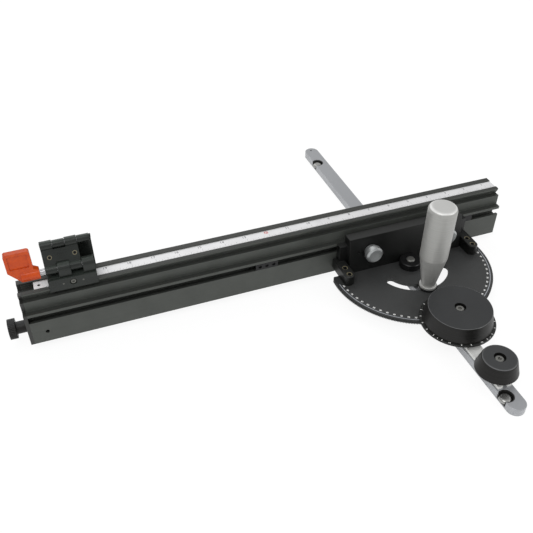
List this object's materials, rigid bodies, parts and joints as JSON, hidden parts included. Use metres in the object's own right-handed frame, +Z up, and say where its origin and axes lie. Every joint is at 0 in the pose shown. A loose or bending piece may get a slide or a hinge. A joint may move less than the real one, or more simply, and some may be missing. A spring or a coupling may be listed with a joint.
{
  "type": "miter gauge",
  "caption": "Table saw miter gauge: steel bar, toothed protractor head with micro adjust knob, and a telescoping fence with a flip stop.",
  "frame": {"origin": "pivot axis at the underside of the bar", "axes": "+X along the fence, +Y along the bar away from the operator, +Z up"},
  "size_m": [0.5782, 0.514, 0.1265],
  "materials": {
    "bar_steel": "ground",
    "bright_steel": "satin",
    "disc_plastic": "moulded",
    "black_steel": "black oxide",
    "plate_black": "black powder coat",
    "bracket_black": "black anodised",
    "fence_anodised": "charcoal anodised",
    "ruler_silver": "printed",
    "handle_aluminium": "satin",
    "clamp_aluminium": "turned",
    "knob_black": "fine texture",
    "dial_black": "black anodised",
    "stop_black": "black anodised",
    "lever_red": "moulded",
    "cap_black": "moulded"
  },
  "bodies": {
    "bar": {"miter_bar": "bar_steel", "expansion_discs": "disc_plastic", "disc_screws": "bright_steel", "pivot_bolt": "bright_steel", "pivot_collar": "black_steel", "handle_stud": "bright_steel"},
    "head": {"protractor_plate": "plate_black", "fence_bracket": "bracket_black", "bracket_screws": "black_steel", "slot_nut_bar": "bright_steel"},
    "handle": {"lock_handle": "handle_aluminium", "handle_washer": "black_steel"},
    "slide": {"index_slide": "bright_steel", "knob_bolt": "bright_steel"},
    "micro_knob": {"micro_knob": "knob_black", "knob_dial": "dial_black", "knob_pinion": "bright_steel"},
    "index_knob": {"index_knob": "knob_black", "index_screw": "bright_steel"},
    "clamp_left": {"clamp_knob_left": "clamp_aluminium"},
    "clamp_right": {"clamp_knob_right": "clamp_aluminium"},
    "fence": {"fence_extrusion": "fence_anodised", "ruler": "ruler_silver"},
    "slot_block": {"slot_block": "black_steel", "block_screws": "black_steel"},
    "extension": {"extension_bar": "fence_anodised", "extension_plug": "fence_anodised", "extension_cap": "cap_black", "cap_screws": "black_steel"},
    "lock_screw": {"lock_screw": "knob_black"},
    "stop": {"stop_body": "stop_black", "stop_jaw": "stop_black", "jaw_screw": "bright_steel", "jaw_dowels": "bright_steel"},
    "cam": {"cam_lever": "lever_red", "cam_shaft": "bright_steel"},
    "link": {"stop_link": "stop_black", "high_hinge_pin": "bright_steel", "link_screws": "black_steel"},
    "arm": {"stop_arm": "stop_black"}
  },
  "joints": [
    {"name": "head_pivot", "type": "hinge", "parent": "bar", "child": "head", "pos_m": [0, 0, 0.0153], "axis": [0, 0, 1], "range_deg": [-60, 60]},
    {"name": "handle_turn", "type": "hinge", "parent": "bar", "child": "handle", "pos_m": [0, -0.04, 0.04], "axis": [0, 0, 1], "range_deg": [0, 360]},
    {"name": "index_slide", "type": "slide", "parent": "bar", "child": "slide", "axis": [0, -1, 0], "range_m": [0, 0.006]},
    {"name": "micro_adjust", "type": "hinge", "parent": "slide", "child": "micro_knob", "pos_m": [0, -0.1, 0.025], "axis": [0, 0, 1], "range_deg": [-900, 900]},
    {"name": "index_clamp", "type": "hinge", "parent": "bar", "child": "index_knob", "pos_m": [0, -0.171, 0.025], "axis": [0, 0, 1], "range_deg": [0, 540]},
    {"name": "clamp_left_turn", "type": "hinge", "parent": "head", "child": "clamp_left", "pos_m": [-0.0464, 0.02, 0.04225], "axis": [0, 1, 0], "range_deg": [-540, 0]},
    {"name": "clamp_right_turn", "type": "hinge", "parent": "head", "child": "clamp_right", "pos_m": [0.0498, 0.02, 0.04225], "axis": [0, 1, 0], "range_deg": [-540, 0]},
    {"name": "fence_slide", "type": "slide", "parent": "head", "child": "fence", "axis": [1, 0, 0], "range_m": [-0.035, 0.045]},
    {"name": "block_slide", "type": "slide", "parent": "fence", "child": "slot_block", "axis": [1, 0, 0], "range_m": [-0.22, 0.025]},
    {"name": "extension_slide", "type": "slide", "parent": "fence", "child": "extension", "axis": [-1, 0, 0], "range_m": [0, 0.33]},
    {"name": "lock_screw_turn", "type": "hinge", "parent": "extension", "child": "lock_screw", "pos_m": [-0.43, 0.0466, 0.021], "axis": [1, 0, 0], "range_deg": [-720, 0]},
    {"name": "stop_slide", "type": "slide", "parent": "fence", "child": "stop", "axis": [1, 0, 0], "range_m": [-0.02, 0.46]},
    {"name": "cam_turn", "type": "hinge", "parent": "stop", "child": "cam", "pos_m": [-0.37, 0.045, 0.0872], "axis": [1, 0, 0], "range_deg": [0, 90]},
    {"name": "link_hinge", "type": "hinge", "parent": "stop", "child": "link", "pos_m": [-0.37, 0.045, 0.0872], "axis": [1, 0, 0], "range_deg": [0, 100]},
    {"name": "arm_hinge", "type": "hinge", "parent": "link", "child": "arm", "pos_m": [-0.37, 0.058, 0.108], "axis": [1, 0, 0], "range_deg": [0, 110]}
  ],
  "couplings": [
    {"joint": "micro_adjust", "follows": "head_pivot", "ratio": -15}
  ]
}
